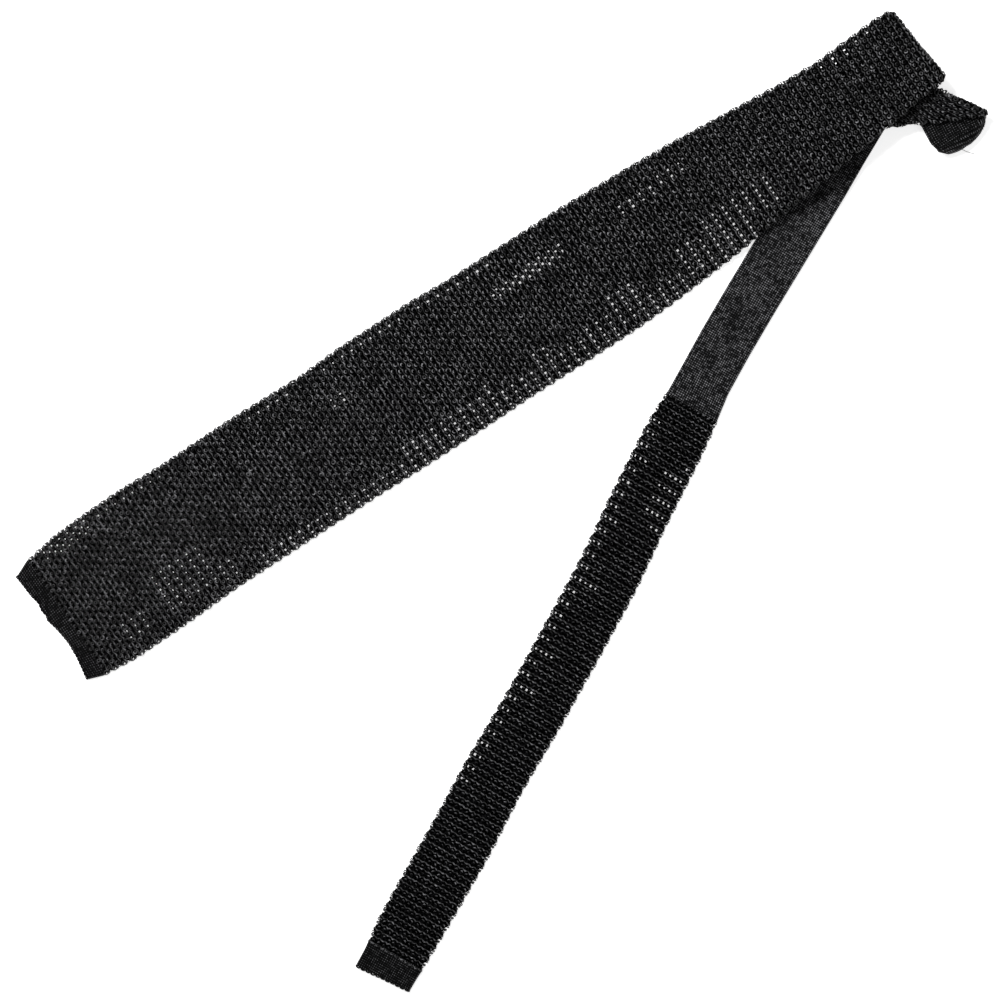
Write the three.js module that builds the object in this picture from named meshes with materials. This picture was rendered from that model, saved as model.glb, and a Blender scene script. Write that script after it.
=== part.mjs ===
import * as THREE from 'three';

// A knit tie, laid on a table with its front blade on top and its neck end folded away beneath it.
// It is one long flattened tube of knit, open at both ends: openwork knit in the front blade and in
// the tail, close knit in the neck band and the two hems. Millimetres, +Z up, seen from above.
// A heading is the direction of travel from the front hem towards the tail, in degrees from +X.

// Knit walls
const openWall = 1.2; // one wall of the openwork knit
const closeWall = 0.9; // one wall of the close knit
const tubeGap = 0.4; // air between the two walls of the flattened tube
const layerGap = 0.5; // air between two layers that lie on each other
const seamGap = 0.3; // between two stretches that meet end to end

// Front blade, from its hem to the first fold
const bladeLength = 543;
const bladeWidth = 77; // at its widest
const bladeBow = 3.5; // how far its middle wanders from a straight line
const bladeHeading = 33.9;
const bladeEndHeading = 36.8; // where it turns under
const frontHemDepth = 8.5;
const bladeLanding = 30; // length in which it sinks from the neck band to the table

// Stretches that lie folded between the blade and the neck band
const underLength = 45;
const underHeading = 221.6;
const stripLength = 45;
const stripHeading = 8.8;
const stripWidth = 30.5;
const lobeLength = 26;
const lobeHeading = -58.6;
const lobeWidth = 29.5;
const backLength = 41.7;
const backHeading = 134;
const seamPastFold = 1.5; // where the close knit begins, past the third fold
const cornerRound = 1; // how much each fold's corners are rounded off, for each mm of its radius

// Neck band and tail, from the fifth fold to the tail's end
const neckLength = 203.6;
const neckWidth = 28.3;
const neckHeading = 239.8;
const neckLift = 36; // length that stays raised after the fold
const neckLanding = 48; // length in which it sinks to the table
const tailLength = 324.5;
const tailWidth = 34;
const tailBow = 11; // how far the middle of neck and tail wanders from a straight line
const tailHemDepth = 13;

// Where the blade's middle and edges run: at is the share of its length,
// bow the share of bladeBow to the left, wide the share of bladeWidth, turn the share of the fold's skew.
const bladeRows = [
  { at: 0.0, bow: 0.02, wide: 0.84, turn: 0.25 },
  { at: 0.015, bow: 0.1, wide: 0.925, turn: 0 },
  { at: 0.05, bow: 0.25, wide: 0.99, turn: 0 },
  { at: 0.09, bow: 0.37, wide: 1.0, turn: 0 },
  { at: 0.13, bow: 0.42, wide: 0.995, turn: 0 },
  { at: 0.17, bow: 0.35, wide: 0.97, turn: 0 },
  { at: 0.25, bow: 0.25, wide: 0.975, turn: 0 },
  { at: 0.33, bow: -0.1, wide: 0.96, turn: 0 },
  { at: 0.38, bow: -0.1, wide: 0.985, turn: 0 },
  { at: 0.46, bow: -0.3, wide: 0.985, turn: 0 },
  { at: 0.5, bow: -0.5, wide: 0.965, turn: 0 },
  { at: 0.58, bow: -0.8, wide: 0.965, turn: 0 },
  { at: 0.63, bow: -0.93, wide: 0.965, turn: 0 },
  { at: 0.67, bow: -1.0, wide: 0.94, turn: 0 },
  { at: 0.71, bow: -1.0, wide: 0.91, turn: 0 },
  { at: 0.75, bow: -1.0, wide: 0.87, turn: 0 },
  { at: 0.79, bow: -0.95, wide: 0.81, turn: 0.05 },
  { at: 0.83, bow: -0.92, wide: 0.75, turn: 0.15 },
  { at: 0.87, bow: -0.88, wide: 0.69, turn: 0.3 },
  { at: 0.91, bow: -0.72, wide: 0.64, turn: 0.5 },
  { at: 0.95, bow: -0.32, wide: 0.625, turn: 0.75 },
  { at: 0.98, bow: 0.1, wide: 0.61, turn: 0.95 },
  { at: 1.0, bow: 0.12, wide: 0.595, turn: 1 },
];

// Where the edges of each folded stretch run: at is the share of its length, left and right are shares
// of its width on either side of its middle line, turn is the share of the way from its first fold line
// to its last one, and wall the share of the way from an openwork wall to a close one.
const underRows = [
  { at: 0.0, left: 0.5, right: 0.5, turn: 0, wall: 0 },
  { at: 0.5, left: 0.47, right: 0.45, turn: 0.5, wall: 0 },
  { at: 1.0, left: 0.42, right: 0.42, turn: 1, wall: 0 },
];
const stripRows = [
  { at: 0.0, left: 0.6, right: 0.6, turn: 0, wall: 0 },
  { at: 0.35, left: 0.53, right: 0.49, turn: 0.35, wall: 0 },
  { at: 0.7, left: 0.5, right: 0.5, turn: 0.7, wall: 0.5 },
  { at: 1.0, left: 0.5, right: 0.54, turn: 1, wall: 1 },
];
const lobeRows = [
  { at: 0.0, left: 0.54, right: 0.5, turn: 0, wall: 1 },
  { at: 0.1, left: 0.54, right: 0.5, turn: 0, wall: 1 },
  { at: 0.5, left: 0.49, right: 0.5, turn: 0.5, wall: 1 },
  { at: 1.0, left: 0.3, right: 0.48, turn: 1, wall: 1 },
];
const backRows = [
  { at: 0.0, left: 0.48, right: 0.3, turn: 0, wall: 1 },
  { at: 0.35, left: 0.38, right: 0.24, turn: 0.35, wall: 1 },
  { at: 0.6, left: 0.38, right: 0.2, turn: 0.6, wall: 1 },
  { at: 1.0, left: 0.38, right: 0.2, turn: 1, wall: 1 },
];

// Neck band, tail and tail hem: bow is the share of tailBow to the right, wide the share of the
// stretch's width, turn the share of the fifth fold's skew, and wall the share from open to close.
const neckRows = [
  { at: 0.0, bow: 0.27, wide: 0.6, turn: 1, wall: 1 },
  { at: 0.06, bow: 0.38, wide: 0.63, turn: 0.7, wall: 1 },
  { at: 0.14, bow: 0.51, wide: 0.7, turn: 0.3, wall: 1 },
  { at: 0.24, bow: 0.69, wide: 0.82, turn: 0.1, wall: 1 },
  { at: 0.34, bow: 0.81, wide: 0.92, turn: 0, wall: 1 },
  { at: 0.45, bow: 0.92, wide: 0.98, turn: 0, wall: 1 },
  { at: 0.56, bow: 0.98, wide: 1.0, turn: 0, wall: 1 },
  { at: 0.68, bow: 1.02, wide: 1.0, turn: 0, wall: 1 },
  { at: 0.82, bow: 1.03, wide: 1.0, turn: 0, wall: 1 },
  { at: 0.93, bow: 0.98, wide: 1.0, turn: 0, wall: 1 },
  { at: 1.0, bow: 0.88, wide: 1.06, turn: 0, wall: 0 },
];
const tailRows = [
  { at: 0.0, bow: 0.88, wide: 0.89, turn: 0, wall: 0 },
  { at: 0.03, bow: 0.86, wide: 0.95, turn: 0, wall: 0 },
  { at: 0.07, bow: 0.8, wide: 0.985, turn: 0, wall: 0 },
  { at: 0.19, bow: 0.6, wide: 0.985, turn: 0, wall: 0 },
  { at: 0.25, bow: 0.43, wide: 0.985, turn: 0, wall: 0 },
  { at: 0.31, bow: 0.3, wide: 0.99, turn: 0, wall: 0 },
  { at: 0.43, bow: 0.21, wide: 0.99, turn: 0, wall: 0 },
  { at: 0.55, bow: 0.14, wide: 0.985, turn: 0, wall: 0 },
  { at: 0.67, bow: 0.18, wide: 0.99, turn: 0, wall: 0 },
  { at: 0.79, bow: 0.04, wide: 1.02, turn: 0, wall: 0 },
  { at: 0.91, bow: 0.02, wide: 1.01, turn: 0, wall: 0 },
  { at: 0.97, bow: 0.0, wide: 0.99, turn: 0, wall: 0 },
  { at: 1.0, bow: -0.05, wide: 0.94, turn: 0, wall: 0 },
];
const tailHemRows = [
  { at: 0.0, bow: -0.05, wide: 0.94, turn: 0, wall: 0 },
  { at: 0.3, bow: -0.06, wide: 0.92, turn: 0.04, wall: 1 },
  { at: 1.0, bow: -0.07, wide: 0.91, turn: 0.12, wall: 1 },
];

// How finely the tube is cut up
const hemSteps = 3; // stretches along the blade's hem
const foldSteps = 8; // facets of each half turn
const edgeSteps = 4; // facets of each rounded edge
const flatSteps = 3; // facets across each face
const rampSteps = 6; // stretches along each length in which the tube sinks
const cutSpacing = 2; // two cuts of a table and a ramp that lie nearer than this become one

// Half thickness of the flattened tube with a given wall, and the wall for a share of the way
// from openwork to close knit.
const halfThick = (wall) => wall + tubeGap / 2;
const wallOf = (share) => THREE.MathUtils.lerp(openWall, closeWall, share);
const openHalf = halfThick(openWall);
const closeHalf = halfThick(closeWall);

// Heights of the middle of each layer in the folded stack, from the table up
const backLevel = closeHalf;
const neckLevel = backLevel + 2 * closeHalf + layerGap;
const lobeLevel = neckLevel + 2 * closeHalf + layerGap;
const stripLevel = lobeLevel + closeHalf + openHalf + layerGap;
const underLevel = stripLevel + 2 * openHalf + layerGap;
const bladeLevel = underLevel + 2 * openHalf + layerGap;

const ease = (share) => THREE.MathUtils.smoothstep(share, 0, 1);
const radians = THREE.MathUtils.degToRad;
const towards = (heading) => new THREE.Vector3(Math.cos(radians(heading)), Math.sin(radians(heading)), 0);

// The direction of a fold line between two headings, taken so that it points to the left of travel.
function foldLine(before, after, heading) {
  const line = (before + after) / 2;
  return Math.sin(radians(line - heading)) > 0 ? line : line + 180;
}

// The value of one column of a table at a share between two of its rows.
function between(rows, column, at) {
  const next = Math.max(1, rows.findIndex((row) => row.at >= at));
  const [low, high] = [rows[next - 1], rows[next]];
  return THREE.MathUtils.mapLinear(at, low.at, high.at, low[column], high[column]);
}

// One cut across the flattened tube. side is 1 where the blade's upper face is up and -1 where it is
// down; line is the direction in which the cut runs, to the left of travel.
function cut({ centre, line, left, right, wall, side }) {
  const across = towards(line).multiplyScalar(side);
  const [ahead, behind] = side > 0 ? [left, right] : [right, left];
  return { centre, across, up: new THREE.Vector3(0, 0, side), ahead, behind, wall };
}

// A straight stretch of cuts between two fold lines. The width is measured square to the heading.
function straight({ start, heading, length, width, rows, firstLine, lastLine, level, side }) {
  return rows.map((row) => {
    const line = THREE.MathUtils.lerp(firstLine, lastLine, row.turn);
    const spread = Math.sin(radians(line - heading));
    return cut({
      centre: start.clone().addScaledVector(towards(heading), row.at * length).setZ(level),
      line,
      left: (row.left * width) / spread,
      right: (row.right * width) / spread,
      wall: wallOf(row.wall),
      side,
    });
  });
}

// Half a turn about a fold line, from the last cut to the level of the next layer.
function halfTurn(last, heading, level) {
  const radius = Math.abs(last.centre.z - level) / 2;
  const rise = Math.sign(level - last.centre.z);
  const out = last.across.clone().cross(new THREE.Vector3(0, 0, 1));
  out.multiplyScalar(Math.sign(out.dot(towards(heading))));
  const cuts = [];
  for (let step = 1; step <= foldSteps; step += 1) {
    const angle = (Math.PI * step) / foldSteps;
    const centre = last.centre.clone().addScaledVector(out, radius * Math.sin(angle));
    centre.z += rise * radius * (1 - Math.cos(angle));
    const up = last.up.clone().multiplyScalar(Math.cos(angle));
    up.addScaledVector(out, -rise * last.up.z * Math.sin(angle));
    const pulledIn = cornerRound * radius * Math.sin(angle);
    cuts.push({ ...last, centre, up, ahead: last.ahead - pulledIn, behind: last.behind - pulledIn });
  }
  return cuts;
}

// Points of one ring of a cut: the outside of the tube, or the inside where inset is the wall.
function ring({ centre, across, up, ahead, behind, wall }, inset) {
  const half = halfThick(wall) - inset;
  const points = [];
  const put = (side, height) => {
    points.push(centre.clone().addScaledVector(across, side).addScaledVector(up, height));
  };
  const [low, high] = [-behind + halfThick(wall), ahead - halfThick(wall)];
  for (let step = 0; step <= flatSteps; step += 1) {
    put(THREE.MathUtils.lerp(low, high, step / flatSteps), half);
  }
  for (let step = 1; step < edgeSteps; step += 1) {
    const angle = (Math.PI * step) / edgeSteps;
    put(high + half * Math.sin(angle), half * Math.cos(angle));
  }
  for (let step = 0; step <= flatSteps; step += 1) {
    put(THREE.MathUtils.lerp(high, low, step / flatSteps), -half);
  }
  for (let step = 1; step < edgeSteps; step += 1) {
    const angle = (Math.PI * step) / edgeSteps;
    put(low - half * Math.sin(angle), -half * Math.cos(angle));
  }
  return points;
}

// The knit tube through a row of cuts: an outer and an inner skin, joined by a rim at each open end.
function tube(cuts) {
  const outer = cuts.map((one) => ring(one, 0));
  const inner = cuts.map((one) => ring(one, one.wall));
  const count = outer[0].length;
  const points = [...outer, ...inner].flat();
  const onOuter = (row, index) => row * count + (index % count);
  const onInner = (row, index) => (cuts.length + row) * count + (index % count);
  const faces = [];
  const quad = (a, b, c, d) => faces.push(a, c, b, a, d, c);
  const end = cuts.length - 1;
  for (let index = 0; index < count; index += 1) {
    const next = index + 1;
    for (let row = 0; row < end; row += 1) {
      quad(onOuter(row, index), onOuter(row, next), onOuter(row + 1, next), onOuter(row + 1, index));
      quad(onInner(row, index), onInner(row + 1, index), onInner(row + 1, next), onInner(row, next));
    }
    quad(onOuter(0, index), onInner(0, index), onInner(0, next), onOuter(0, next));
    quad(onOuter(end, index), onOuter(end, next), onInner(end, next), onInner(end, index));
  }
  const geometry = new THREE.BufferGeometry();
  const numbers = points.flatMap((point) => point.toArray());
  geometry.setAttribute('position', new THREE.Float32BufferAttribute(numbers, 3));
  geometry.setIndex(faces);
  geometry.computeVertexNormals();
  return geometry;
}

// Fold lines, each as the direction that points to the left of the stretch before or after it
const lineOne = foldLine(bladeEndHeading, underHeading, bladeHeading);
const lineTwo = foldLine(underHeading, stripHeading, stripHeading);
const lineThree = foldLine(stripHeading, lobeHeading, stripHeading);
const lineFour = foldLine(lobeHeading, backHeading, lobeHeading);
const lineFive = foldLine(backHeading, neckHeading, backHeading);

// Plan of the folds. The blade's length is measured to the outside of its fold.
const foldBulge = (bladeLevel - underLevel) / 2 + openHalf;
const bladeStart = new THREE.Vector3(0, 0, 0);
const foldOne = bladeStart.clone().addScaledVector(towards(bladeHeading), bladeLength - foldBulge);
const foldTwo = foldOne.clone().addScaledVector(towards(underHeading), underLength);
const foldThree = foldTwo.clone().addScaledVector(towards(stripHeading), stripLength);
const foldFour = foldThree.clone().addScaledVector(towards(lobeHeading), lobeLength);
const foldFive = foldFour.clone().addScaledVector(towards(backHeading), backLength);

// How far from the first fold the blade has to stay up: over the second fold, and then over the
// neck band until that has come out from under the blade's right edge.
const backwards = towards(bladeHeading + 180);
const foldTwoReach = (underRows.at(-1).left * bladeWidth) / 2 + foldBulge;
const stackReach = foldTwo.clone().sub(foldOne).dot(backwards) + foldTwoReach;
const crossing = radians(neckHeading - bladeHeading - 180);
const fiveOff = foldFive.clone().sub(foldOne);
const fiveRight = fiveOff.dot(towards(bladeHeading - 90));
const neckEdge = tailBow + neckWidth / 2;
const neckRun = (bladeWidth / 2 - fiveRight + neckEdge * Math.cos(crossing)) / Math.sin(crossing);
const neckReach = fiveOff.dot(backwards) + neckRun * Math.cos(crossing) + neckEdge * Math.sin(crossing);
const overNeck = 2 * closeHalf + layerGap + openHalf;

// Height of the blade's middle at a distance from its fold
function bladeHeight(distance) {
  if (distance <= neckReach) {
    const share = ease((distance - stackReach) / (neckReach - stackReach));
    return THREE.MathUtils.lerp(bladeLevel, overNeck, share);
  }
  return THREE.MathUtils.lerp(overNeck, openHalf, ease((distance - neckReach) / bladeLanding));
}

// A cut across the blade at a share of its length
function bladeCut(at, wall) {
  const length = bladeLength - foldBulge;
  const square = bladeHeading + 90;
  const half = (between(bladeRows, 'wide', at) * bladeWidth) / 2;
  const centre = bladeStart.clone().addScaledVector(towards(bladeHeading), at * length);
  centre.addScaledVector(towards(square), between(bladeRows, 'bow', at) * bladeBow);
  centre.z = bladeHeight((1 - at) * length) - openHalf + halfThick(wall);
  const line = THREE.MathUtils.lerp(square, lineOne, between(bladeRows, 'turn', at));
  return cut({ centre, line, left: half, right: half, wall, side: 1 });
}

// A cut across the neck band or the tail at a share of that stretch. They lie with the blade's upper
// face down, and sink from the folded stack to the table.
function neckCut(rows, at, width, start, length) {
  const distance = start + at * length;
  const square = neckHeading + 90;
  const wall = wallOf(between(rows, 'wall', at));
  const centre = foldFive.clone().addScaledVector(towards(neckHeading), distance);
  centre.addScaledVector(towards(square), -between(rows, 'bow', at) * tailBow);
  const sunk = ease((distance - neckLift) / neckLanding);
  centre.z = THREE.MathUtils.lerp(neckLevel, closeHalf, sunk) - closeHalf + halfThick(wall);
  const line = THREE.MathUtils.lerp(square, lineFive + 180, between(rows, 'turn', at));
  const half = (between(rows, 'wide', at) * width) / 2 / Math.sin(radians(line - neckHeading));
  return cut({ centre, line, left: half, right: half, wall, side: -1 });
}

// The distances of a table's rows along their stretch, with more along each ramp, from its first to
// its last distance, in which the tube sinks
function cutDistances(rows, length, ...ramps) {
  const distances = rows.map((row) => row.at * length);
  for (const [first, last] of ramps) {
    for (let step = 0; step <= rampSteps; step += 1) {
      distances.push(THREE.MathUtils.lerp(first, last, step / rampSteps));
    }
  }
  distances.sort((a, b) => a - b);
  const apart = (index) => index === 0 || distances[index] - distances[index - 1] > cutSpacing;
  return distances.filter((distance, index) => apart(index) || distance === length);
}

function frontHem() {
  const last = frontHemDepth / (bladeLength - foldBulge);
  const cuts = [];
  for (let step = 0; step <= hemSteps; step += 1) {
    const share = step / hemSteps;
    cuts.push(bladeCut(share * last, step === hemSteps ? openWall : closeWall));
  }
  return tube(cuts);
}

// The front blade with the stretch that is folded beneath it, up to the end of the openwork knit
function frontBlade() {
  const length = bladeLength - foldBulge;
  const first = frontHemDepth + seamGap;
  const onNeck = length - neckReach;
  const ramps = [[onNeck - bladeLanding, onNeck], [onNeck, length - stackReach]];
  const past = cutDistances(bladeRows, length, ...ramps).filter((distance) => distance > first + cutSpacing);
  const cuts = [first, ...past].map((distance) => bladeCut(distance / length, openWall));
  cuts.push(...halfTurn(cuts.at(-1), bladeHeading, underLevel));
  const foldWidth = bladeRows.at(-1).wide * bladeWidth;
  const under = straight({
    start: foldOne, heading: underHeading, length: underLength, width: foldWidth, rows: underRows,
    firstLine: lineOne + 180, lastLine: lineTwo + 180, level: underLevel, side: -1,
  });
  cuts.push(...under.slice(1));
  cuts.push(...halfTurn(cuts.at(-1), underHeading, stripLevel));
  const strip = straight({
    start: foldTwo, heading: stripHeading, length: stripLength, width: stripWidth, rows: stripRows,
    firstLine: lineTwo, lastLine: lineThree, level: stripLevel, side: 1,
  });
  cuts.push(...strip.slice(1));
  cuts.push(...halfTurn(cuts.at(-1), stripHeading, lobeLevel));
  cuts.push(...lobeCuts(seamPastFold));
  return tube(cuts);
}

// Cuts of the lobe at some distances past the third fold
function lobeCuts(...distances) {
  const rows = distances.map((distance) => {
    const at = distance / lobeLength;
    const [left, right, turn] = ['left', 'right', 'turn'].map((column) => between(lobeRows, column, at));
    return { at, left, right, turn, wall: 1 };
  });
  return straight({
    start: foldThree, heading: lobeHeading, length: lobeLength, width: lobeWidth, rows,
    firstLine: lineThree - 180, lastLine: lineFour, level: lobeLevel, side: -1,
  });
}

// The close-knit neck band: the lobe, the stretch that runs back beneath it, and the long visible band
function neckBand() {
  const start = seamPastFold + seamGap / Math.sin(radians(lineThree - 180 - lobeHeading));
  const cuts = lobeCuts(start, lobeLength / 2, lobeLength);
  cuts.push(...halfTurn(cuts.at(-1), lobeHeading, backLevel));
  const back = straight({
    start: foldFour, heading: backHeading, length: backLength, width: lobeWidth, rows: backRows,
    firstLine: lineFour + 180, lastLine: lineFive, level: backLevel, side: 1,
  });
  cuts.push(...back.slice(1));
  cuts.push(...halfTurn(cuts.at(-1), backHeading, neckLevel));
  const distances = cutDistances(neckRows, neckLength, [neckLift, neckLift + neckLanding]);
  const neck = distances.map((distance) => neckCut(neckRows, distance / neckLength, neckWidth, 0, neckLength));
  cuts.push(...neck.slice(1));
  return tube(cuts);
}

function tailBlade() {
  const start = neckLength + seamGap;
  return tube(tailRows.map((row) => neckCut(tailRows, row.at, tailWidth, start, tailLength)));
}

function tailHem() {
  const start = neckLength + tailLength + 2 * seamGap;
  return tube(tailHemRows.map((row) => neckCut(tailHemRows, row.at, tailWidth, start, tailHemDepth)));
}

const openKnit = { color: 0x141416, roughness: 0.62, metalness: 0 };
const closeKnit = { color: 0x18181b, roughness: 0.7, metalness: 0 };
const tie = new THREE.Group();

function add(name, geometry, finish) {
  const mesh = new THREE.Mesh(geometry, new THREE.MeshStandardMaterial(finish));
  mesh.name = name;
  tie.add(mesh);
}

add('front_hem', frontHem(), closeKnit);
add('front_blade', frontBlade(), openKnit);
add('neck_band', neckBand(), closeKnit);
add('tail_blade', tailBlade(), openKnit);
add('tail_hem', tailHem(), closeKnit);

// The origin is the middle of the ground that the tie covers.
const box = new THREE.Box3().setFromObject(tie);
const middle = box.getCenter(new THREE.Vector3());
tie.position.set(-middle.x, -middle.y, -box.min.z);
tie.updateMatrixWorld(true);

export default tie;
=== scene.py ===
"""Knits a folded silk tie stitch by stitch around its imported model, and lays it on a pale table."""

import math
from collections import namedtuple

import bpy
import numpy as np
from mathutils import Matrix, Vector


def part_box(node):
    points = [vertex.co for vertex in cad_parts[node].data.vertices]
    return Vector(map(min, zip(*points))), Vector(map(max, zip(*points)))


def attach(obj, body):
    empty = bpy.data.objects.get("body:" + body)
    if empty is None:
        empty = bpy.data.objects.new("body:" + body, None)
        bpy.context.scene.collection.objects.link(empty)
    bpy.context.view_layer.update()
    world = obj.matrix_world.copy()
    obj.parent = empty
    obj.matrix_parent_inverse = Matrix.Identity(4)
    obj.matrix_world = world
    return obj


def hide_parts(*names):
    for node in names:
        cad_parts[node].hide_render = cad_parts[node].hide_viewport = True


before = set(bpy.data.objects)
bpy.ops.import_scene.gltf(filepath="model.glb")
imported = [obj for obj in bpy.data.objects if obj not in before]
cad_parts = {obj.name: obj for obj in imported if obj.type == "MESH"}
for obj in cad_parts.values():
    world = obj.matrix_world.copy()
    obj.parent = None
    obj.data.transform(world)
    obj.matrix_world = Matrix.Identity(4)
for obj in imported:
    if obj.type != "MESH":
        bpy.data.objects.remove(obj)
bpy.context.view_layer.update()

bl_info = {
    "name": "Knit Tie",
    "version": (1, 0, 0),
    "blender": (4, 5, 0),
    "location": "View3D > Sidebar > Knit Tie",
    "description": "Knits a folded silk tie and lays it on a pale table",
    "category": "Add Mesh",
}

# Layout of the tie. Lengths are in metres. A heading is the direction of travel from the front hem
# towards the tail, in degrees from +X, seen from above.
BLADE_HEADING = 33.9
BLADE_END_HEADING = 36.8
UNDER_LENGTH = 0.045
UNDER_HEADING = 221.6
STRIP_LENGTH = 0.045
STRIP_HEADING = 8.8
STRIP_WIDTH = 0.0305
LOBE_LENGTH = 0.026
STRIP_END = 0.0586  # from the second fold to the end of the openwork
LOBE_HEADING = -58.6
LOBE_WIDTH = 0.0295
BACK_LENGTH = 0.0417
BACK_HEADING = 134.0
NECK_HEADING = 239.8
NECK_LIFT = 0.036  # length of neck band that stays raised after the last fold
NECK_LANDING = 0.048  # length in which it sinks to the table
BLADE_LANDING = 0.030  # length in which the blade sinks from the neck band to the table
BLADE_BOW = 0.0035
TAIL_BOW = 0.011
STRIP_FAN = 0.021  # how much further the openwork runs at the strip's lower edge than at its middle
LOBE_SWELL = 0.0032  # how far the middle of the lobe's fold stands out beyond its ends
BLADE_SAG = 0.0007  # how far the blade's lower edge hangs out beyond the model's
CORNER_ROUND = 1.0  # how much a fold's corners are rounded off, for each metre of its radius

# Where the blade's middle and edges run: at is the share of its length, bow the share of BLADE_BOW to
# the left, wide the share of the blade's width.
BladeRow = namedtuple("BladeRow", "at bow wide")
BLADE_ROWS = (
    BladeRow(0.0, 0.02, 0.84),
    BladeRow(0.015, 0.1, 0.925),
    BladeRow(0.05, 0.25, 0.99),
    BladeRow(0.09, 0.37, 1.0),
    BladeRow(0.13, 0.42, 0.995),
    BladeRow(0.17, 0.35, 0.97),
    BladeRow(0.25, 0.25, 0.975),
    BladeRow(0.33, -0.1, 0.96),
    BladeRow(0.38, -0.1, 0.985),
    BladeRow(0.46, -0.3, 0.985),
    BladeRow(0.5, -0.5, 0.965),
    BladeRow(0.58, -0.8, 0.965),
    BladeRow(0.63, -0.93, 0.965),
    BladeRow(0.67, -1.0, 0.94),
    BladeRow(0.71, -1.0, 0.91),
    BladeRow(0.75, -1.0, 0.87),
    BladeRow(0.79, -0.95, 0.81),
    BladeRow(0.83, -0.92, 0.75),
    BladeRow(0.87, -0.88, 0.69),
    BladeRow(0.91, -0.72, 0.64),
    BladeRow(0.95, -0.32, 0.625),
    BladeRow(0.98, 0.1, 0.61),
    BladeRow(1.0, 0.12, 0.595),
)

# Edges of each folded stretch: left and right are shares of its width on either side of its middle.
EdgeRow = namedtuple("EdgeRow", "at left right")
UNDER_ROWS = (EdgeRow(0.0, 0.5, 0.5), EdgeRow(0.5, 0.47, 0.45), EdgeRow(1.0, 0.42, 0.42))
STRIP_ROWS = (
    EdgeRow(0.0, 0.6, 0.6),
    EdgeRow(0.35, 0.53, 0.49),
    EdgeRow(0.7, 0.5, 0.5),
    EdgeRow(1.0, 0.5, 0.54),
)
LOBE_ROWS = (
    EdgeRow(0.0, 0.56, 0.5),
    EdgeRow(0.5, 0.56, 0.54),
    EdgeRow(0.84, 0.555, 0.56),
    EdgeRow(1.0, 0.52, 0.52),
)
BACK_ROWS = (EdgeRow(0.0, 0.52, 0.5), EdgeRow(0.35, 0.38, 0.24), EdgeRow(1.0, 0.38, 0.2))

# Neck band and tail: bow is the share of TAIL_BOW to the right, wide the share of the stretch's width.
NECK_ROWS = (
    BladeRow(0.0, 0.27, 0.6),
    BladeRow(0.06, 0.38, 0.63),
    BladeRow(0.14, 0.51, 0.7),
    BladeRow(0.24, 0.69, 0.82),
    BladeRow(0.34, 0.81, 0.92),
    BladeRow(0.45, 0.92, 0.98),
    BladeRow(0.56, 0.98, 1.0),
    BladeRow(0.68, 1.02, 1.0),
    BladeRow(0.82, 1.03, 1.0),
    BladeRow(0.93, 0.98, 1.0),
    BladeRow(1.0, 0.88, 1.06),
)
TAIL_ROWS = (
    BladeRow(0.0, 0.88, 0.89),
    BladeRow(0.03, 0.86, 0.95),
    BladeRow(0.07, 0.8, 0.985),
    BladeRow(0.19, 0.6, 0.985),
    BladeRow(0.25, 0.43, 0.985),
    BladeRow(0.31, 0.3, 0.99),
    BladeRow(0.43, 0.21, 0.99),
    BladeRow(0.55, 0.14, 0.985),
    BladeRow(0.67, 0.18, 0.99),
    BladeRow(0.79, 0.04, 1.02),
    BladeRow(0.91, 0.02, 1.01),
    BladeRow(0.97, 0.0, 0.99),
    BladeRow(1.0, -0.05, 0.94),
)
TAIL_HEM_ROWS = (BladeRow(0.0, -0.05, 0.94), BladeRow(0.3, -0.06, 0.92), BladeRow(1.0, -0.07, 0.91))

# Height of a course of openwork along the tie
PitchRow = namedtuple("PitchRow", "along pitch")
COURSE_PITCHES = (
    PitchRow(0.0, 0.00258),
    PitchRow(0.061, 0.00266),
    PitchRow(0.155, 0.00292),
    PitchRow(0.28, 0.0031),
    PitchRow(0.406, 0.0033),
    PitchRow(0.503, 0.00364),
    PitchRow(0.7, 0.0035),
    PitchRow(1.3, 0.00357),
)

# Lengths of openwork that are knitted as one piece: wales is how many stitches lie across one face, face
# is 1 where the face that shows is the blade's upper one, knob is the radius of a knob, lift how far the
# knobs stand out beyond the wavy yarn, lean how far they lean over, in degrees, hole the width of a hole
# through both faces, skin how many strips of web lie behind each course and replaces the node that the
# length stands for.
KnitRow = namedtuple("KnitRow", "name start end wales face knob lift lean hole skin replaces")

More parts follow.
